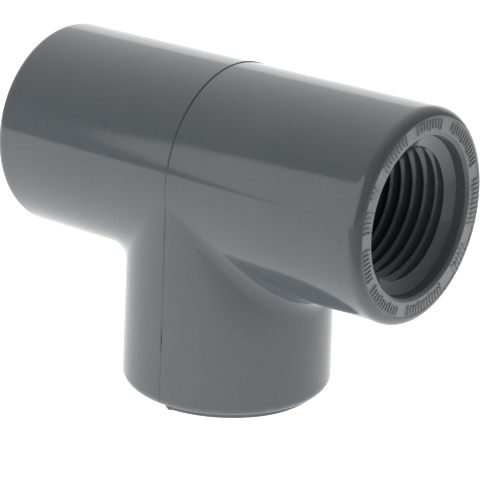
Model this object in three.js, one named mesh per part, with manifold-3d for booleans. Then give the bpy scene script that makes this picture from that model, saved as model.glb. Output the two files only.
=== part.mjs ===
// A grey PVC pipe tee for irrigation work: three equal legs, each threaded inside for half-inch pipe.
// It is one injection moulding. It stands on the end of its branch, with the run along X.
import * as THREE from "three";
import { mergeVertices } from "three/addons/utils/BufferGeometryUtils.js";
import Module from "manifold-3d";

const wasm = await Module();
wasm.setup();

// Outside, in millimetres.
const LEG_LENGTH = 31.75; // from the crossing of the two axes to each end face
const RUN_RADIUS = 14.9;
const BRANCH_RADIUS_AT_CROSSING = 14.65;
const BRANCH_RADIUS_AT_END = 15.05;
const END_ROUNDING = 1.5; // outer corner of each end face
const CROTCH_RADIUS = 3.5; // fillet where the branch leaves the run

// Each mouth, as depths below the end face.
const LIP_ROUNDING = 0.55;
const COUNTERBORE_RADIUS = 11;
const COUNTERBORE_DEPTH = 2.05;
const SEAT_DEPTH = 2.7; // inner edge of the sloping seat, where the thread begins
const WATERWAY_RADIUS = 8;

// Taper pipe thread, 1/2-14 NPT: fourteen threads to the inch, 1 in 16 on the diameter, right-handed.
const THREAD_PITCH = 25.4 / 14;
const THREAD_TAPER = 1 / 32; // loss of radius for each millimetre of depth
const THREAD_CREST_RADIUS = 9.16; // at the seat
const THREAD_HEIGHT = 1.33;
const THREAD_ROOT_FLAT = 0.1;
const THREAD_END_DEPTH = 17.2;
const THREAD_FADE = 0.6; // depth over which the groove grows at the seat, and dies away at its end
const THREAD_START_ANGLE = THREE.MathUtils.degToRad(-52); // on the run, from +Y towards the top
const FLANK_WIDTH = THREAD_HEIGHT * Math.tan(Math.PI / 6); // half of the 60 degree V, less its flats

// Fineness of the round surfaces.
const OUTSIDE_SEGMENTS = 48;
const THREAD_SEGMENTS = 24;
const ROUNDING_STEPS = 4;
const CROTCH_STEPS = 5;
const CUT_OVERRUN = 1; // how far a cutting tool passes beyond the face that it cuts

// Turns a closed three.js geometry into a solid that can be joined and cut.
function solidFrom(geometry) {
  const bare = geometry.clone();
  bare.deleteAttribute("normal");
  bare.deleteAttribute("uv");
  const merged = mergeVertices(bare, 1e-4);
  const corners = [];
  const index = merged.index.array;
  for (let i = 0; i < index.length; i += 3) {
    const [a, b, c] = index.slice(i, i + 3);
    if (a !== b && b !== c && c !== a) corners.push(a, b, c);
  }
  const mesh = new wasm.Mesh({
    numProp: 3,
    vertProperties: merged.attributes.position.array,
    triVerts: new Uint32Array(corners),
  });
  return new wasm.Manifold(mesh);
}

function geometryFrom(solid) {
  const mesh = solid.getMesh();
  const geometry = new THREE.BufferGeometry();
  geometry.setAttribute("position", new THREE.BufferAttribute(mesh.vertProperties, 3));
  geometry.setIndex(new THREE.BufferAttribute(mesh.triVerts, 1));
  const faceted = geometry.toNonIndexed();
  faceted.computeVertexNormals();
  return faceted;
}

// Points of a quarter circle between two profile points, the corner's centre given.
function quarterTurn(centreR, centreZ, radius, fromAngle) {
  const points = [];
  for (let i = 0; i <= ROUNDING_STEPS; i++) {
    const angle = fromAngle + (i / ROUNDING_STEPS) * (Math.PI / 2);
    points.push(new THREE.Vector2(centreR + radius * Math.cos(angle), centreZ + radius * Math.sin(angle)));
  }
  return points;
}

// Revolves a profile of (radius, height) points about +Z.
function revolve(profile, segments) {
  return new THREE.LatheGeometry(profile, segments).rotateX(Math.PI / 2);
}

// Skins a ring of closed sections that all have the same number of points. The last lies on the first.
function skin(sections) {
  const sides = sections[0].length;
  const index = [];
  for (let i = 0; i < sections.length - 1; i++) {
    const here = i * sides;
    const there = here + sides;
    for (let j = 0; j < sides; j++) {
      const next = (j + 1) % sides;
      index.push(here + j, there + j, there + next);
      index.push(here + j, there + next, here + next);
    }
  }
  const geometry = new THREE.BufferGeometry().setFromPoints(sections.flat());
  geometry.setIndex(index);
  return geometry;
}

function branchRadius(depthBelowAxis) {
  const share = depthBelowAxis / (LEG_LENGTH - END_ROUNDING);
  return THREE.MathUtils.lerp(BRANCH_RADIUS_AT_CROSSING, BRANCH_RADIUS_AT_END, share);
}

function runOutside() {
  const inner = RUN_RADIUS - END_ROUNDING;
  const shoulder = LEG_LENGTH - END_ROUNDING;
  const profile = [
    new THREE.Vector2(0, -LEG_LENGTH),
    ...quarterTurn(inner, -shoulder, END_ROUNDING, -Math.PI / 2),
    ...quarterTurn(inner, shoulder, END_ROUNDING, 0),
    new THREE.Vector2(0, LEG_LENGTH),
  ];
  return solidFrom(revolve(profile, OUTSIDE_SEGMENTS).rotateY(Math.PI / 2));
}

function branchOutside() {
  const profile = [
    new THREE.Vector2(0, -LEG_LENGTH),
    ...quarterTurn(BRANCH_RADIUS_AT_END - END_ROUNDING, END_ROUNDING - LEG_LENGTH, END_ROUNDING, -Math.PI / 2),
    new THREE.Vector2(BRANCH_RADIUS_AT_CROSSING, 0),
    new THREE.Vector2(0, 0),
  ];
  return solidFrom(revolve(profile, OUTSIDE_SEGMENTS));
}

// One section of the crotch fillet: the arc that a ball of the fillet's radius leaves as it rolls
// round the branch while it touches both cylinders, closed by a point buried in the material.
function crotchSection(angle) {
  const touching = RUN_RADIUS + CROTCH_RADIUS;
  let drop = touching;
  let reach = 0;
  for (let pass = 0; pass < 8; pass++) {
    reach = branchRadius(drop) + CROTCH_RADIUS;
    drop = Math.sqrt(touching ** 2 - (reach * Math.sin(angle)) ** 2);
  }
  const centre = new THREE.Vector3(reach * Math.cos(angle), reach * Math.sin(angle), -drop);
  const towardsBranch = new THREE.Vector3(-Math.cos(angle), -Math.sin(angle), 0);
  const towardsRun = new THREE.Vector3(0, -centre.y, -centre.z).normalize();
  const turn = new THREE.Quaternion().setFromUnitVectors(towardsBranch, towardsRun);
  const section = [];
  for (let i = 0; i <= CROTCH_STEPS; i++) {
    const part = new THREE.Quaternion().slerp(turn, i / CROTCH_STEPS);
    const spoke = towardsBranch.clone().applyQuaternion(part).multiplyScalar(CROTCH_RADIUS);
    section.push(centre.clone().add(spoke));
  }
  const buried = section[0].clone().add(section[CROTCH_STEPS]).multiplyScalar(0.45);
  section.push(buried);
  return section;
}

function crotchFillet() {
  const sections = [];
  for (let i = 0; i <= OUTSIDE_SEGMENTS; i++) {
    sections.push(crotchSection((i / OUTSIDE_SEGMENTS) * 2 * Math.PI));
  }
  return solidFrom(skin(sections));
}

function crestRadius(depth) {
  return THREE.MathUtils.lerp(THREAD_CREST_RADIUS, THREAD_CREST_RADIUS - THREAD_TAPER, depth - SEAT_DEPTH);
}

// The space inside one mouth, about +Z with the end face at the leg's length: lip, counterbore and seat.
function mouthSpace() {
  const lip = quarterTurn(COUNTERBORE_RADIUS + LIP_ROUNDING, LEG_LENGTH - LIP_ROUNDING, LIP_ROUNDING, Math.PI / 2);
  const profile = [
    new THREE.Vector2(0, LEG_LENGTH - SEAT_DEPTH),
    new THREE.Vector2(THREAD_CREST_RADIUS, LEG_LENGTH - SEAT_DEPTH),
    new THREE.Vector2(COUNTERBORE_RADIUS, LEG_LENGTH - COUNTERBORE_DEPTH),
    ...lip.reverse(),
    new THREE.Vector2(COUNTERBORE_RADIUS + LIP_ROUNDING, LEG_LENGTH + CUT_OVERRUN),
    new THREE.Vector2(0, LEG_LENGTH + CUT_OVERRUN),
  ];
  return solidFrom(revolve(profile, OUTSIDE_SEGMENTS));
}

// Depth and height above the crests of each corner of the thread along one side of the bore. The
// corners move one pitch deeper in each turn, and are held between the seat and the thread's end.
function threadCorners(turned) {
  const turns = Math.ceil((THREAD_END_DEPTH - SEAT_DEPTH) / THREAD_PITCH) + 1;
  const crestFlat = THREAD_PITCH - THREAD_ROOT_FLAT - 2 * FLANK_WIDTH;
  const corners = [];
  for (let turn = -1; turn < turns; turn++) {
    const start = SEAT_DEPTH + (turn + turned / (2 * Math.PI)) * THREAD_PITCH;
    corners.push([start, 0]);
    corners.push([start + FLANK_WIDTH, THREAD_HEIGHT]);
    corners.push([start + FLANK_WIDTH + THREAD_ROOT_FLAT, THREAD_HEIGHT]);
    corners.push([start + THREAD_PITCH - crestFlat, 0]);
  }
  return corners.map(([depth, height]) => {
    const held = THREE.MathUtils.clamp(depth, SEAT_DEPTH, THREAD_END_DEPTH);
    const fromEnds = Math.min(held - SEAT_DEPTH, THREAD_END_DEPTH - held);
    return [held, height * THREE.MathUtils.smoothstep(fromEnds, 0, THREAD_FADE)];
  });
}

// Half of the threaded bore's section, as points (radius, height) about +Z, cut at one angle round it.
function boreProfile(turned) {
  const top = (SEAT_DEPTH + COUNTERBORE_DEPTH) / 2;
  const endRadius = crestRadius(THREAD_END_DEPTH);
  const tipRadius = WATERWAY_RADIUS / 2;
  const tipDepth = THREAD_END_DEPTH + endRadius - tipRadius;
  const wall = threadCorners(turned).map(([depth, height]) => [crestRadius(depth) + height, depth]);
  const outline = [
    [0, top],
    [THREAD_CREST_RADIUS, top],
    [THREAD_CREST_RADIUS, SEAT_DEPTH],
    ...wall,
    [endRadius, THREAD_END_DEPTH],
    [tipRadius, tipDepth],
    [0, tipDepth],
  ];
  return outline.map(([radius, depth]) => new THREE.Vector3(radius, 0, LEG_LENGTH - depth));
}

// The space that the thread encloses, with its crests tapering in, and the cone that ends in the waterway.
function threadedBore() {
  const axis = new THREE.Vector3(0, 0, 1);
  const sections = [];
  for (let i = 0; i <= THREAD_SEGMENTS; i++) {
    const turned = (i / THREAD_SEGMENTS) * 2 * Math.PI;
    sections.push(boreProfile(turned).map((point) => point.applyAxisAngle(axis, -turned)));
  }
  return solidFrom(skin(sections));
}

// Everything that is hollow inside one leg. The leg points along +Z, before it is turned to its place.
function legSpace() {
  return mouthSpace().add(threadedBore());
}

function waterway() {
  const profile = [
    new THREE.Vector2(0, -LEG_LENGTH / 2),
    new THREE.Vector2(WATERWAY_RADIUS, -LEG_LENGTH / 2),
    new THREE.Vector2(WATERWAY_RADIUS, LEG_LENGTH / 2),
    new THREE.Vector2(0, LEG_LENGTH / 2),
  ];
  const alongRun = solidFrom(revolve(profile, THREAD_SEGMENTS).rotateY(Math.PI / 2));
  const downBranch = solidFrom(revolve(profile, THREAD_SEGMENTS).translate(0, 0, -LEG_LENGTH / 2));
  return alongRun.add(downBranch);
}

function teeSolid() {
  const leg = legSpace();
  const startDegrees = THREE.MathUtils.radToDeg(THREAD_START_ANGLE);
  const outside = runOutside().add(branchOutside()).add(crotchFillet());
  return outside
    .subtract(waterway())
    .subtract(leg.rotate([0, 0, 90 + startDegrees]).rotate([0, 90, 0]))
    .subtract(leg.rotate([0, 0, 90 + startDegrees]).rotate([0, -90, 0]))
    .subtract(leg.rotate([0, 180, 0]));
}

const body = new THREE.Mesh(
  geometryFrom(teeSolid()),
  new THREE.MeshStandardMaterial({ color: 0x585e62, roughness: 0.15, metalness: 0 }),
);
body.name = "tee_body";
body.position.z = LEG_LENGTH;

const tee = new THREE.Group();
tee.add(body);

export default tee;
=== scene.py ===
"""A grey PVC pipe tee for irrigation, moulded in one piece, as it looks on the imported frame."""
import math
from typing import NamedTuple

import bmesh
import bpy
import numpy as np
from mathutils import Matrix, Quaternion, Vector


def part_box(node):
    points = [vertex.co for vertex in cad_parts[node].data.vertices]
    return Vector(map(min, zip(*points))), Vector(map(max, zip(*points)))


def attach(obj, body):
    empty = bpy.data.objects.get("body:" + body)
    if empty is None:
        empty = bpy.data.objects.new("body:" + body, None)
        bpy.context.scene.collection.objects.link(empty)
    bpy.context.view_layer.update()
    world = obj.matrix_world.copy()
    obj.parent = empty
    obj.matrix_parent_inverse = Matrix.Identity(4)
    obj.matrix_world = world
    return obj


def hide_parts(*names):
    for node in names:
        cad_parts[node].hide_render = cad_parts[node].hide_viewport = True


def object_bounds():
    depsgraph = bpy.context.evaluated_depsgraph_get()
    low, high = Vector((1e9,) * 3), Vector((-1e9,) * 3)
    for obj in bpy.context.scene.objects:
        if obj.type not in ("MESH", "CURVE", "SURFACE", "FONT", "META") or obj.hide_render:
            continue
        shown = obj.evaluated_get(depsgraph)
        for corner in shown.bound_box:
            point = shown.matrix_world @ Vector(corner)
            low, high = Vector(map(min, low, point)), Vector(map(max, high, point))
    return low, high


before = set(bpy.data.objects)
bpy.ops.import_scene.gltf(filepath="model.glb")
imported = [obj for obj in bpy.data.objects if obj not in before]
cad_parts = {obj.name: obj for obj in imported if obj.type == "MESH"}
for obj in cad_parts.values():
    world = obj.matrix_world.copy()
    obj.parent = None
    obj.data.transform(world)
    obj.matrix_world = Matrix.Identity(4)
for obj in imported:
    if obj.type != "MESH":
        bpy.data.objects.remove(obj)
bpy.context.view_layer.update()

MM = 0.001

# Sizes are in millimetres, measured from the crossing of the two axes, with the run along X and the
# branch down Z. The driving three come from the frame.
cad_low, cad_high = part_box("tee_body")
LEG = cad_high.x / MM  # to each end face
RUN_RADIUS = cad_high.z / MM - LEG
BRANCH_RADIUS_AT_END = cad_high.y / MM
BRANCH_RADIUS_AT_CROSSING = 14.65
END_ROUNDING = 1.5
CROTCH_RADIUS = 3.5

# Each mouth, as radii and as depths below the end face.
RING_RADIUS = 13.55  # outside of the flat ring, where the end's rounding stops
RING_STEP = 0.1  # the ring is sunk by this much, and the lip inside it by as much again
RING_STEP_WIDTH = 0.04
LIP_RADIUS = 11.5
LIP_END_DEPTH = 0.6
COUNTERBORE_RADIUS = 11
COUNTERBORE_DEPTH = 2.05
SEAT_DEPTH = 2.7
SEAT_CORNER = 0.12  # fillet where the counterbore's wall meets the seat
SEAT_EDGE = 0.06  # width of the rounding where the seat meets the thread

# Taper pipe thread, 1/2-14 NPT.
THREAD_PITCH = 25.4 / 14
THREAD_TAPER = 1 / 32
THREAD_CREST_RADIUS = 9.16
THREAD_HEIGHT = 1.33
THREAD_ROOT_FLAT = 0.1
THREAD_START_DEPTH = SEAT_DEPTH + 0.05
THREAD_END_DEPTH = 17.2
THREAD_FADE = 0.5  # depth over which the groove grows at its start, and dies away at its end
THREAD_CORNER = 0.04  # half of the width over which each corner of the V is rounded
FLANK_WIDTH = THREAD_HEIGHT * math.tan(math.pi / 6)

# Waterways, and the small rounding where they meet.
WATERWAY_RADIUS = 8
WATERWAY_ROUNDING = 0.5
THREAD_END_RADIUS = THREAD_CREST_RADIUS - (THREAD_END_DEPTH - SEAT_DEPTH) * THREAD_TAPER
WATERWAY_START = THREAD_END_DEPTH + THREAD_END_RADIUS - WATERWAY_RADIUS

# Fineness. Steps are in degrees.
COLUMN_STEP = 1  # round the branch
CORNER_COLUMN = 60  # the column that meets the end of the line along the run's top
RIM_STEP = 3
BORE_STEP = 3.75
BRANCH_WATERWAY_STEP = 2
RUN_WATERWAY_STEP = 6
OUTSIDE_ROWS = (28, 10, 36)  # on the branch, on the fillet and on the run
WATERWAY_ROWS = (4, 4, 12)
MERGE_DISTANCE = 0.0003
SHARP_ANGLE = 32  # edges that turn by more are shaded as edges


class Leg(NamedTuple):
    """One of the three ends: its outward axis, two directions square to it, and where its thread starts."""

    outward: tuple
    across: tuple
    upward: tuple
    thread_start: float


RIGHT_LEG = Leg((1, 0, 0), (0, 1, 0), (0, 0, 1), -52)
LEFT_LEG = Leg((-1, 0, 0), (0, -1, 0), (0, 0, 1), 128)
BRANCH_LEG = Leg((0, 0, -1), (-1, 0, 0), (0, 1, 0), 0)


class Skin:
    """Points and faces of one closed surface, built up row by row. Rows that touch are merged at the end."""

    def __init__(self):
        self.points = []
        self.faces = []

    def row(self, points):
        first = len(self.points)
        self.points.extend(map(tuple, points))
        return range(first, len(self.points))

    def band(self, here, there):
        """Quads between two rows with equal numbers of points."""
        for i in range(len(here) - 1):
            self.faces.append((here[i], here[i + 1], there[i + 1], there[i]))

    def sheet(self, rows):
        """Quads between each row of points and the next. Gives back the first and the last row."""
        made = [self.row(points) for points in rows]
        for here, there in zip(made, made[1:]):
            self.band(here, there)
        return made[0], made[-1]

    def zipper(self, here, here_at, there, there_at):
        """Triangles between two rows with different numbers of points, matched by their angles."""
        i = j = 0
        while i < len(here) - 1 or j < len(there) - 1:
            here_next = here_at[i + 1] if i < len(here) - 1 else math.inf
            there_next = there_at[j + 1] if j < len(there) - 1 else math.inf
            if here_next <= there_next:
                self.faces.append((here[i], here[i + 1], there[j]))
                i += 1
            else:
                self.faces.append((here[i], there[j + 1], there[j]))
                j += 1


def smoothstep(value, low, high):
    share = np.clip((value - low) / (high - low), 0, 1)
    return share * share * (3 - 2 * share)


# ---------------------------------------------------------------- outside and waterway


def rolling_ball(angles, run_radius, branch_radius, fillet):
    """Centres of a ball that rolls round the crotch, touching the run and the branch."""
    touching = run_radius + fillet
    drop = np.full_like(angles, touching)
    for _ in range(8):
        reach = branch_radius(drop) + fillet
        drop = np.sqrt(np.maximum(touching**2 - (reach * np.sin(angles)) ** 2, 0))
    return np.stack([reach * np.cos(angles), reach * np.sin(angles), -drop], axis=-1)


def unit(vectors):
    return vectors / np.linalg.norm(vectors, axis=-1, keepdims=True)


def run_edge(angles, contact_x, shoulder):
    """Where each column round the branch leaves the run: x, and degrees round the run from its underside.

    Columns up to CORNER_COLUMN go to an end of the run, and the rest to the line along its top. Those
    near the middle of that line keep the x that they have at the crotch.
    """
    column = np.degrees(np.arctan2(np.abs(np.sin(angles)), np.abs(np.cos(angles))))
    round_end = np.minimum(column / CORNER_COLUMN, 1) * 180
    spread = np.clip((90 - column) / (90 - CORNER_COLUMN), 0, 1) ** 3
    x = np.abs(contact_x) + (shoulder - np.abs(contact_x)) * spread
    return x * np.sign(np.cos(angles)), round_end * np.sign(np.sin(angles))


def junction(angles, run_radius, branch_radius, fillet, shoulder, branch_end, rows):
    """Rows of points, and of outward normals, up the branch, over the fillet and round the run.

    angles are radians round the branch from +X. rows are the numbers of steps on the branch, the
    fillet and the run.
    """
    centres = rolling_ball(angles, run_radius, branch_radius, fillet)
    around = np.stack([np.cos(angles), np.sin(angles), np.zeros_like(angles)], axis=-1)
    towards_run = unit(centres * [0, -1, -1])
    points, normals = [], []
    for share in np.linspace(0, 1, rows[0] + 1)[:-1]:
        drop = branch_end + (-centres[:, 2] - branch_end) * share
        points.append(around * branch_radius(drop)[:, None] - np.outer(drop, [0, 0, 1]))
        normals.append(around)
    for share in np.linspace(0, 1, rows[1] + 1)[:-1]:
        spoke = unit(-around * (1 - share) + towards_run * share)
        points.append(centres + spoke * fillet)
        normals.append(-spoke)
    from_x = centres[:, 0]
    from_turn = np.degrees(np.arctan2(centres[:, 1], -centres[:, 2]))
    to_x, to_turn = run_edge(angles, from_x, shoulder)
    for share in np.linspace(0, 1, rows[2] + 1):
        x = from_x + (to_x - from_x) * share
        turn = np.radians(from_turn + (to_turn - from_turn) * share)
        normal = np.stack([np.zeros_like(turn), np.sin(turn), -np.cos(turn)], axis=-1)
        points.append(normal * run_radius + np.outer(x, [1, 0, 0]))
        normals.append(normal)
    return np.array(points), np.array(normals)


def outer_branch_radius(drop):
    share = drop / (LEG - END_ROUNDING)
    return BRANCH_RADIUS_AT_CROSSING + (BRANCH_RADIUS_AT_END - BRANCH_RADIUS_AT_CROSSING) * share


def waterway_radius(drop):
    return np.full_like(drop, WATERWAY_RADIUS)


# The parting line lies in the plane x = 0. It is given across that plane, as (x, height) points.
SEAM_ON_RUN = ((-0.13, 0), (-0.09, 0.03), (0.05, 0.03), (0.09, -0.01), (0.13, -0.03), (0.24, 0))
SEAM_ON_BRANCH = ((-0.13, 0), (-0.09, 0.08), (0.05, 0.05), (0.13, -0.015), (0.24, 0))
SEAM_COLUMNS = (0, 0.05, 0.09, 0.13, 0.24, 0.32)  # distances from the plane that have a column of points
SEAM_ON_TOP = 3.5  # how many times as high it is on the run's top as at the front
# A nick in it, on the front of the branch.
NICK_BELOW_AXIS = 21.5
NICK_HALF_LENGTH = 1.5
NICK_DEPTH = 0.22
NICK_SHAPE = ((-0.05, 0), (0.05, 1), (0.13, 0.9), (0.24, 0))


def column_degrees():
    """Angles round the branch of every column, in degrees, with the seam's own columns beside +Y and -Y."""
    at_crotch = RUN_RADIUS + CROTCH_RADIUS
    seam = [math.degrees(math.asin(offset / at_crotch)) for offset in SEAM_COLUMNS]
    plain = [k * COLUMN_STEP for k in range(1, int(90 / COLUMN_STEP) - 1)]
    quarter = [0, *plain, *[90 - offset for offset in reversed(seam)]]
    half = quarter + [180 - angle for angle in reversed(quarter[:-1])]
    return np.array(half + [360 - angle for angle in reversed(half[:-1])])


def across_seam(profile, degrees):
    """A profile's height at each column round the branch."""
    x = np.cos(np.radians(degrees)) * (RUN_RADIUS + CROTCH_RADIUS)
    return np.interp(x, *zip(*profile))


def seam_height(points, degrees):
    """Height of the parting line on the outside: proud on the run's top, low at its front and below."""
    on_run = smoothstep(points[..., 2], -RUN_RADIUS * 0.6, 0)
    towards_top = smoothstep(points[..., 2], 0, RUN_RADIUS)
    grown = on_run * (1 + (SEAM_ON_TOP - 1) * towards_top)
    from_nick = np.abs(points[..., 2] + NICK_BELOW_AXIS) / NICK_HALF_LENGTH
    nick = NICK_DEPTH * (1 - smoothstep(from_nick, 0.4, 1)) * (points[..., 1] < 0)
    branch = (1 - on_run) * across_seam(SEAM_ON_BRANCH, degrees)
    return grown * across_seam(SEAM_ON_RUN, degrees) + branch - nick * across_seam(NICK_SHAPE, degrees)


def add_outside(skin):
    degrees = column_degrees()
    shoulder = LEG - END_ROUNDING
    points, normals = junction(
        np.radians(degrees), RUN_RADIUS, outer_branch_radius, CROTCH_RADIUS, shoulder, shoulder, OUTSIDE_ROWS
    )
    skin.sheet(points + normals * seam_height(points, degrees)[..., None])


def add_waterways(skin):
    angles = np.radians(np.arange(0, 360.1, BRANCH_WATERWAY_STEP))
    shoulder = LEG - WATERWAY_START
    points, _ = junction(
        angles, WATERWAY_RADIUS, waterway_radius, WATERWAY_ROUNDING, shoulder, shoulder, WATERWAY_ROWS
    )
    skin.sheet(points)


# ---------------------------------------------------------------- the three ends


def placed(leg, degrees, radius, depth):
    """Points round a leg's axis, at those angles, each at its own radius and depth, or all at the same."""
    angle = np.radians(degrees)
    radius = np.broadcast_to(radius, angle.shape)
    along = np.broadcast_to(LEG - np.asarray(depth, dtype=float), angle.shape)
    return (
        np.outer(along, leg.outward)
        + np.outer(radius * np.cos(angle), leg.across)
        + np.outer(radius * np.sin(angle), leg.upward)
    )


def quarter_round(from_radius, to_radius, from_depth, to_depth, steps, rounds_out):
    """(radius, depth) points of a quarter ellipse. rounds_out is true where it starts along the axis."""
    made = []
    for turn in np.linspace(0, math.pi / 2, steps + 1):
        first, second = math.cos(turn), math.sin(turn)
        if not rounds_out:
            first, second = 1 - second, 1 - first
        radius = to_radius + (from_radius - to_radius) * first
        made.append((radius, from_depth + (to_depth - from_depth) * second))
    return made


def rim_profile(end_radius):
    """From the outside wall over the end's rounding, to the foot of the step at the ring."""
    rounding = quarter_round(end_radius, RING_RADIUS, END_ROUNDING, 0, 10, True)
    return [*rounding, (RING_RADIUS - RING_STEP_WIDTH, RING_STEP)]


# A thin skirt of flash hangs from one half of the branch's rim, from the front of the parting line on.
SKIRT_OUTSIDE = 14.16
SKIRT_INSIDE = 14.0
SKIRT_HEIGHT = 0.4
SKIRT_CORNER = 4  # degrees past the parting line where it reaches its full height
SKIRT_NUB = 0.16  # how far a nub stands proud of it there
SKIRT_NUB_HALF = 1.5  # degrees
SKIRT_FADE = (60, 110)  # degrees past the parting line between which it dies away


def skirt_height(degrees):
    """Height of the flash at each angle round the branch's own axis."""
    past_seam = (270 - degrees) % 360
    share = smoothstep(past_seam, 0, SKIRT_CORNER) * (1 - smoothstep(past_seam, *SKIRT_FADE))
    nub = SKIRT_NUB * np.maximum(0, 1 - ((past_seam - SKIRT_CORNER) / SKIRT_NUB_HALF) ** 2)
    return (SKIRT_HEIGHT + nub) * share


def branch_rim(degrees):
    """The branch's rim, with the parting line carried down to the end face, and the skirt of flash."""
    plain = rim_profile(BRANCH_RADIUS_AT_END)
    inside_depth, outside_depth = np.interp([SKIRT_INSIDE, SKIRT_OUTSIDE], *zip(*sorted(plain)))
    skirt = skirt_height(degrees)
    seam = across_seam(SEAM_ON_BRANCH, 180 - degrees) / END_ROUNDING
    rows = [(radius + seam * depth, depth) for radius, depth in plain if radius > SKIRT_OUTSIDE + 0.05]
    rows += [(SKIRT_OUTSIDE, outside_depth), (SKIRT_OUTSIDE - 0.03, outside_depth - skirt)]
    rows += [(SKIRT_INSIDE + 0.03, inside_depth - skirt), (SKIRT_INSIDE, inside_depth)]
    return rows + [point for point in plain if point[0] < SKIRT_INSIDE - 0.05]


def mouth_profile():
    """From the ring's inner edge over the lip, down the counterbore and in along the seat."""
    lip_start = LIP_RADIUS - RING_STEP_WIDTH
    lip = quarter_round(lip_start, COUNTERBORE_RADIUS, 2 * RING_STEP, LIP_END_DEPTH, 6, False)
    seat = (SEAT_DEPTH - COUNTERBORE_DEPTH) / (COUNTERBORE_RADIUS - THREAD_CREST_RADIUS)
    corner = [
        (COUNTERBORE_RADIUS, COUNTERBORE_DEPTH - SEAT_CORNER),
        (COUNTERBORE_RADIUS - 0.3 * SEAT_CORNER, COUNTERBORE_DEPTH - 0.2 * SEAT_CORNER),
        (COUNTERBORE_RADIUS - SEAT_CORNER, COUNTERBORE_DEPTH + seat * SEAT_CORNER),
    ]
    return [
        (LIP_RADIUS, RING_STEP),
        *lip,
        *corner,
        (THREAD_CREST_RADIUS + SEAT_EDGE, SEAT_DEPTH - seat * SEAT_EDGE),
        (THREAD_CREST_RADIUS + SEAT_EDGE / 4, SEAT_DEPTH + SEAT_EDGE / 6),
        (THREAD_CREST_RADIUS, THREAD_START_DEPTH),
    ]


def add_rings(skin, leg, degrees, profile):
    return skin.sheet([placed(leg, degrees, radius, depth) for radius, depth in profile])


def crest_radius(depth):
    return THREAD_CREST_RADIUS - (depth - SEAT_DEPTH) * THREAD_TAPER


def groove_height(offset):
    """Depth of the groove at a distance along the axis from its middle, with its corners rounded."""
    spread = np.linspace(-THREAD_CORNER, THREAD_CORNER, 5)
    reach = np.abs(offset + spread) - THREAD_ROOT_FLAT / 2
    return float(np.mean(THREAD_HEIGHT * (1 - np.clip(reach / FLANK_WIDTH, 0, 1))))


def groove_offsets():
    """Places along one pitch where the thread has rows: close at its corners, none along its flanks."""
    root = THREAD_ROOT_FLAT / 2
    crest = root + FLANK_WIDTH
    half = [root - THREAD_CORNER, root + THREAD_CORNER, crest - THREAD_CORNER, crest, crest + THREAD_CORNER]
    return [-offset for offset in reversed(half)] + half


def add_thread(skin, leg, degrees):
    """The threaded wall. Its rows follow the helix, and are held between the seat and the thread's end."""
    turned = np.radians(leg.thread_start - degrees)
    start = THREAD_START_DEPTH
    turns = math.ceil((THREAD_END_DEPTH - start) / THREAD_PITCH) + 2
    middle = THREAD_ROOT_FLAT / 2 + FLANK_WIDTH
    rows = [placed(leg, degrees, THREAD_CREST_RADIUS, start)]
    for turn in range(-2, turns):
        for offset in groove_offsets():
            depth = SEAT_DEPTH + turned / (2 * math.pi) * THREAD_PITCH + turn * THREAD_PITCH + middle + offset
            held = np.clip(depth, start, THREAD_END_DEPTH)
            fade = smoothstep(np.minimum(held - start, THREAD_END_DEPTH - held), 0, THREAD_FADE)
            rows.append(placed(leg, degrees, crest_radius(held) + groove_height(offset) * fade, held))
    rows.append(placed(leg, degrees, crest_radius(THREAD_END_DEPTH), THREAD_END_DEPTH))
    skin.sheet(rows)


def add_end(skin, leg, rim_degrees, rim, waterway_degrees, marks):
    bore_degrees = np.arange(rim_degrees[0], rim_degrees[0] + 360.1, BORE_STEP)
    _, ring_outside = add_rings(skin, leg, rim_degrees, rim)
    ring_inside, _ = add_rings(skin, leg, bore_degrees, mouth_profile())
    if marks:
        grid_degrees, rows = mark_grid(marks, rim_degrees[0])
        grid_outside, grid_inside = skin.sheet(
            [placed(leg, grid_degrees, radius, RING_STEP - height) for radius, height in rows]
        )
        skin.zipper(ring_outside, rim_degrees, grid_outside, grid_degrees)
        skin.zipper(grid_inside, grid_degrees, ring_inside, bore_degrees)
    else:
        skin.zipper(ring_outside, rim_degrees, ring_inside, bore_degrees)
    add_thread(skin, leg, bore_degrees)
    bore_end = skin.row(placed(leg, bore_degrees, crest_radius(THREAD_END_DEPTH), THREAD_END_DEPTH))
    waterway = skin.row(placed(leg, waterway_degrees, WATERWAY_RADIUS, WATERWAY_START))
    skin.zipper(bore_end, bore_degrees, waterway, waterway_degrees)


# ---------------------------------------------------------------- raised marks on the right end's ring

# Groups of plain ticks, like those of a scale. Each group spans these degrees, from +Y towards +Z.
MARK_GROUPS = (
    (74, 101),
    (21, 63),
    (-19, 12),
    (-49, -30),
    (-101, -62),
    (-147, -111),
    (-175, -152),
    (162, 177),
    (147, 157),
    (111, 137),
)
MARK_PITCH = 3  # degrees from one tick to the next
MARK_WIDTH = 1.3  # degrees
MARK_HEIGHT = 0.26
MARK_BEVEL = 0.05
MARK_OUTER_RADIUS = 13.3
MARK_INNER_RADII = (11.85, 12.1, 12.1, 12.1)  # one long tick, then three short ones


def mark_ticks(groups):
    """Every tick on the ring, as (first angle, inner radius)."""
    ticks = []
    for low, high in groups:
        count = round((high - low) / MARK_PITCH)
        for i in range(count):
            start = low + (i + 0.5) * (high - low) / count - MARK_WIDTH / 2
            ticks.append((start, MARK_INNER_RADII[i % len(MARK_INNER_RADII)]))
    return ticks


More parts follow.
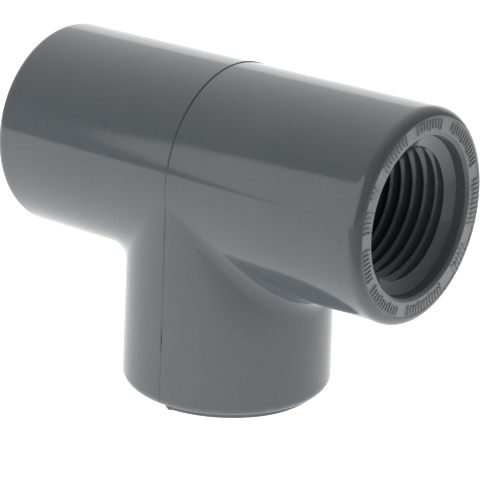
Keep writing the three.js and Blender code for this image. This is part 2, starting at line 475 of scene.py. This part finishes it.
def mark_grid(groups, first_degree):
    """A grid over the ring, with lines at the foot and the top of every tick: its angles, and its rows as
    (radius, height at each angle)."""
    ticks = mark_ticks(groups)
    bevel = math.degrees(MARK_BEVEL / MARK_OUTER_RADIUS)
    plain = [
        angle
        for angle in np.arange(first_degree, first_degree + 360.1, RIM_STEP)
        if all((angle - start) % 360 > MARK_WIDTH for start, _ in ticks)
    ]
    edges = [start + step for start, _ in ticks for step in (0, bevel, MARK_WIDTH - bevel, MARK_WIDTH)]
    wrapped = [(angle - first_degree) % 360 + first_degree for angle in edges]
    angles = np.unique(np.round([first_degree, *plain, *wrapped, first_degree + 360], 6))
    radii = [RING_RADIUS - 0.12, MARK_OUTER_RADIUS, MARK_OUTER_RADIUS - MARK_BEVEL]
    for inner in sorted(set(MARK_INNER_RADII), reverse=True):
        radii += [inner + MARK_BEVEL, inner]
    rows = []
    for radius in [*radii, LIP_RADIUS + 0.1]:
        height = np.zeros_like(angles)
        for start, inner in ticks:
            if inner + MARK_BEVEL / 2 < radius < MARK_OUTER_RADIUS - MARK_BEVEL / 2:
                turn = (angles - start) % 360
                height[(turn > bevel / 2) & (turn < MARK_WIDTH - bevel / 2)] = MARK_HEIGHT
        rows.append((radius, height))
    return angles, rows


# ---------------------------------------------------------------- the body


def build_body():
    skin = Skin()
    add_outside(skin)
    add_waterways(skin)
    run_rim = np.arange(-270, 90.1, RIM_STEP)
    run_waterway = np.arange(-270, 90.1, RUN_WATERWAY_STEP)
    add_end(skin, RIGHT_LEG, run_rim, rim_profile(RUN_RADIUS), run_waterway, MARK_GROUPS)
    add_end(skin, LEFT_LEG, run_rim, rim_profile(RUN_RADIUS), run_waterway, ())
    branch_columns = np.sort(180 - column_degrees())
    branch_waterway = np.arange(-180, 180.1, BRANCH_WATERWAY_STEP)
    add_end(skin, BRANCH_LEG, branch_columns, branch_rim(branch_columns), branch_waterway, ())
    points = (np.array(skin.points) + [0, 0, LEG]) * MM
    mesh = bpy.data.meshes.new("tee")
    mesh.from_pydata(points.tolist(), [], skin.faces)
    close_up(mesh)
    body = bpy.data.objects.new("tee", mesh)
    bpy.context.scene.collection.objects.link(body)
    return body


def close_up(mesh):
    """Merges the rows that touch, turns every face outwards and shades the round surfaces smooth."""
    work = bmesh.new()
    work.from_mesh(mesh)
    bmesh.ops.remove_doubles(work, verts=work.verts, dist=MERGE_DISTANCE * MM)
    bmesh.ops.dissolve_degenerate(work, edges=work.edges, dist=MERGE_DISTANCE * MM)
    bmesh.ops.recalc_face_normals(work, faces=work.faces)
    work.to_mesh(mesh)
    work.free()
    mesh.shade_smooth()
    mesh.set_sharp_from_angle(angle=math.radians(SHARP_ANGLE))


# ---------------------------------------------------------------- material


class Nodes:
    """Adds linked nodes to one material or world."""

    def __init__(self, owner):
        owner.use_nodes = True
        self.tree = owner.node_tree

    def add(self, kind, inputs=(), **settings):
        node = self.tree.nodes.new("ShaderNode" + kind)
        for name, value in settings.items():
            setattr(node, name, value)
        for name, value in dict(inputs).items():
            self.connect(value, node.inputs[name])
        return node

    def connect(self, value, socket):
        if isinstance(value, bpy.types.NodeSocket):
            self.tree.links.new(value, socket)
        else:
            socket.default_value = value

    def math(self, operation, first, second=0, third=0):
        node = self.add("Math", {0: first, 1: second, 2: third}, operation=operation)
        return node.outputs["Value"]

    def noise(self, where, size, detail):
        """Noise about 0.5, with features of about that size in millimetres."""
        inputs = {"Vector": where, "Scale": 1 / (size * MM), "Detail": detail}
        return self.add("TexNoise", inputs).outputs["Fac"]

    def ranged(self, value, low, high, to_low, to_high):
        inputs = {"Value": value, "From Min": low, "From Max": high, "To Min": to_low, "To Max": to_high}
        return self.add("MapRange", inputs).outputs["Result"]

    def mixed(self, share, first, second):
        """One colour or another, by share. A mix node has one set of sockets for each kind of data."""
        node = self.add("Mix", {0: share, 6: first, 7: second}, data_type="RGBA")
        return node.outputs[2]


PVC_DARK = (0.086, 0.099, 0.11, 1)
PVC_LIGHT = (0.095, 0.108, 0.119, 1)
# The rings' paler colour below is painted sheen: it stands in for the light that their matte faces scatter.
RING_SHEEN_COLOUR = (0.26, 0.276, 0.287, 1)
SPECK_COLOUR = (0.05, 0.055, 0.06, 1)
RING_MARGIN = 0.14  # how far below the end face the matte ring's finish and its painted sheen begin
SPECK_SPACING = 3
SPECK_RADIUS = 0.24
CLOUD_SIZE = 14
GRAIN_SIZE = 0.3
WAVE_SIZE = 5
GLOSS_SIZE = 9
ROUGHNESS = (0.08, 0.12)
RING_ROUGHNESS = 0.35  # over the rest
GRAIN_SHADES = (0.93, 1.07)
GRAIN_ON_BODY = 0.04  # share of the ring's grain that the glossy surface has
GRAIN_HEIGHT = 0.02
WAVE_HEIGHT = 0.012


def matte_ring_with_painted_sheen(nodes, where):
    """1 on the flat rings round the three mouths, 0 elsewhere: where the finish is matte and a paler sheen is
    painted.
    """
    place = nodes.add("SeparateXYZ", {"Vector": where}).outputs
    height = nodes.math("SUBTRACT", place["Z"], LEG * MM)
    beside = nodes.math("MULTIPLY", place["Y"], place["Y"])
    within = (RING_RADIUS * MM) ** 2
    from_run = nodes.math("LESS_THAN", nodes.math("MULTIPLY_ADD", height, height, beside), within)
    from_branch = nodes.math("LESS_THAN", nodes.math("MULTIPLY_ADD", place["X"], place["X"], beside), within)
    at_run_end = nodes.math("GREATER_THAN", nodes.math("ABSOLUTE", place["X"]), (LEG - RING_MARGIN) * MM)
    at_branch_end = nodes.math("LESS_THAN", place["Z"], RING_MARGIN * MM)
    on_run_ring = nodes.math("MULTIPLY", from_run, at_run_end)
    return nodes.math("MULTIPLY_ADD", from_branch, at_branch_end, on_run_ring)


def specks(nodes, where):
    """1 in the middle of the few small dark specks that lie in the plastic, and 0 away from them."""
    cells = nodes.add("TexVoronoi", {"Vector": where, "Scale": 1 / (SPECK_SPACING * MM)}).outputs
    size = SPECK_RADIUS / SPECK_SPACING
    near = nodes.ranged(cells["Distance"], 0.3 * size, size, 1, 0)
    chosen = nodes.add("SeparateColor", {"Color": cells["Color"]}).outputs["Red"]
    return nodes.math("MULTIPLY", near, nodes.math("GREATER_THAN", chosen, 0.5))


def pvc_material():
    """Grey PVC as moulded: glossy with a slight waviness, and matte on the mouths' rings, whose paler colour
    is painted sheen.
    """
    material = bpy.data.materials.new("grey_pvc")
    nodes = Nodes(material)
    where = nodes.add("TexCoord").outputs["Object"]
    ring = matte_ring_with_painted_sheen(nodes, where)
    clouds = nodes.noise(where, CLOUD_SIZE, 3)
    grain = nodes.noise(where, GRAIN_SIZE, 2)
    wave = nodes.noise(where, WAVE_SIZE, 1)

    body_colour = nodes.mixed(nodes.ranged(clouds, 0.35, 0.65, 0, 1), PVC_DARK, PVC_LIGHT)
    # Painted sheen: the rings take a paler colour in place of the light that their matte faces scatter.
    with_ring_sheen = nodes.mixed(ring, body_colour, RING_SHEEN_COLOUR)
    shade = nodes.ranged(grain, 0.3, 0.7, *GRAIN_SHADES)
    grained = nodes.add("HueSaturation", {"Color": with_ring_sheen, "Value": shade})
    colour = nodes.mixed(specks(nodes, where), grained.outputs["Color"], SPECK_COLOUR)

    gloss = nodes.ranged(nodes.noise(where, GLOSS_SIZE, 4), 0.3, 0.7, *ROUGHNESS)
    roughness = nodes.math("MULTIPLY_ADD", ring, RING_ROUGHNESS, gloss)

    wave_bump = {"Height": wave, "Strength": 1, "Distance": WAVE_HEIGHT * MM}
    waviness = nodes.add("Bump", wave_bump).outputs["Normal"]
    grain_height = nodes.math("MULTIPLY", grain, nodes.math("MULTIPLY_ADD", ring, 1, GRAIN_ON_BODY))
    grain_bump = {"Height": grain_height, "Strength": 1, "Distance": GRAIN_HEIGHT * MM, "Normal": waviness}

    shader = material.node_tree.nodes["Principled BSDF"].inputs
    nodes.connect(colour, shader["Base Color"])
    nodes.connect(roughness, shader["Roughness"])
    nodes.connect(nodes.add("Bump", grain_bump).outputs["Normal"], shader["Normal"])
    shader["IOR"].default_value = 1.53
    return material


# ---------------------------------------------------------------- camera, floor and light

CAMERA_AZIMUTH = 37.775
CAMERA_ELEVATION = 19.59
CAMERA_ROLL = 1.991
CAMERA_DISTANCE = 306.772
CAMERA_ASIDE = 0.91
CAMERA_DOWN = 10.231
CAMERA_LENS = 164.7
CAMERA_SENSOR = 36


def direction(azimuth, elevation):
    """Unit vector towards a place round the object. Azimuth 0 is -Y and 90 is +X, in degrees."""
    turn, rise = math.radians(azimuth), math.radians(elevation)
    return Vector((math.sin(turn) * math.cos(rise), -math.cos(turn) * math.cos(rise), math.sin(rise)))


def add_camera():
    back = direction(CAMERA_AZIMUTH, CAMERA_ELEVATION)
    roll = math.radians(CAMERA_ROLL)
    level = Vector((0, 0, 1)).cross(back).normalized()
    upright = back.cross(level)
    right = level * math.cos(roll) + upright * math.sin(roll)
    up = upright * math.cos(roll) - level * math.sin(roll)
    place = back * CAMERA_DISTANCE + right * CAMERA_ASIDE - up * CAMERA_DOWN + Vector((0, 0, LEG))
    data = bpy.data.cameras.new("camera")
    data.lens = CAMERA_LENS
    data.sensor_width = CAMERA_SENSOR
    camera = bpy.data.objects.new("camera", data)
    camera.matrix_world = Matrix.Translation(place * MM) @ Matrix((right, up, back)).transposed().to_4x4()
    bpy.context.scene.collection.objects.link(camera)
    bpy.context.scene.camera = camera


def add_panel(name, azimuth, elevation, distance, size, radiance, roll=0, is_oval=False):
    """A soft light panel that faces the object. Its distance and (width, height) are in metres."""
    data = bpy.data.lights.new(name, "AREA")
    data.shape = "ELLIPSE" if is_oval else "RECTANGLE"
    data.size, data.size_y = size
    area = size[0] * size[1] * (math.pi / 4 if is_oval else 1)
    data.energy = radiance * math.pi * area
    lamp = bpy.data.objects.new(name, data)
    towards = direction(azimuth, elevation)
    lamp.location = towards * distance + Vector((0, 0, LEG * MM))
    facing = (-towards).to_track_quat("-Z", "Y")
    lamp.rotation_euler = (facing @ Quaternion((0, 0, 1), math.radians(roll))).to_euler()
    lamp.visible_camera = False
    bpy.context.scene.collection.objects.link(lamp)


# The floor glows on its left. Its size and edges are in metres, the edges along FLOOR_AZIMUTH.
FLOOR_HALF = 0.5
FLOOR_AZIMUTH = -120
FLOOR_DARK_EDGE, FLOOR_BRIGHT_EDGE = -0.08, -0.045
FLOOR_DARK_GLOW, FLOOR_BRIGHT_GLOW = 0.24, 1.15


def add_floor(height):
    """A white floor that glows on the left, and is dimmer some way to the right of the object."""
    half = FLOOR_HALF
    mesh = bpy.data.meshes.new("floor")
    corners = [(-half, -half, height), (half, -half, height), (half, half, height), (-half, half, height)]
    mesh.from_pydata(corners, [], [(0, 1, 2, 3)])
    material = bpy.data.materials.new("floor_white")
    nodes = Nodes(material)
    where = nodes.add("TexCoord").outputs["Object"]
    along = {0: where, 1: direction(FLOOR_AZIMUTH, 0)}
    leftwards = nodes.add("VectorMath", along, operation="DOT_PRODUCT").outputs["Value"]
    glow = nodes.ranged(leftwards, FLOOR_DARK_EDGE, FLOOR_BRIGHT_EDGE, FLOOR_DARK_GLOW, FLOOR_BRIGHT_GLOW)
    shader = material.node_tree.nodes["Principled BSDF"].inputs
    shader["Base Color"].default_value = (0.5, 0.5, 0.5, 1)
    shader["Roughness"].default_value = 0.9
    shader["Specular IOR Level"].default_value = 0.1
    shader["Emission Color"].default_value = (1, 1, 1, 1)
    nodes.connect(glow, shader["Emission Strength"])
    mesh.materials.append(material)
    floor = bpy.data.objects.new("floor", mesh)
    bpy.context.scene.collection.objects.link(floor)


SKY_BRIGHTEST = (-140, 45)  # azimuth and elevation
SKY_DIM, SKY_GAIN = 0.265, 1.12


def add_world():
    """A studio that is bright behind the object and above it, and dim on the camera's side."""
    world = bpy.data.worlds.new("studio")
    nodes = Nodes(world)
    around = nodes.add("TexCoord").outputs["Generated"]
    along = {0: around, 1: direction(*SKY_BRIGHTEST)}
    facing = nodes.add("VectorMath", along, operation="DOT_PRODUCT").outputs["Value"]
    gathered = nodes.math("POWER", nodes.math("MAXIMUM", facing, 0), 2)
    background = world.node_tree.nodes["Background"].inputs
    background["Color"].default_value = (1, 1, 1, 1)
    nodes.connect(nodes.math("MULTIPLY_ADD", gathered, SKY_GAIN, SKY_DIM), background["Strength"])
    bpy.context.scene.world = world


def add_lights():
    add_panel("backdrop", azimuth=-143, elevation=9, distance=0.9, size=(1.8, 0.42), radiance=0.7)
    add_panel(
        "front_panel",
        azimuth=-10.2,
        elevation=16,
        distance=1.2,
        size=(1.36, 1.4),
        radiance=1.35,
        roll=-10,
        is_oval=True,
    )


# ---------------------------------------------------------------- the scene

body = build_body()
body.data.materials.append(pvc_material())
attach(body, "root")
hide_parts("tee_body")

add_camera()
add_world()
add_lights()
bpy.context.scene.view_settings.view_transform = "Standard"

visual_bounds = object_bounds()
add_floor(visual_bounds[0][2])
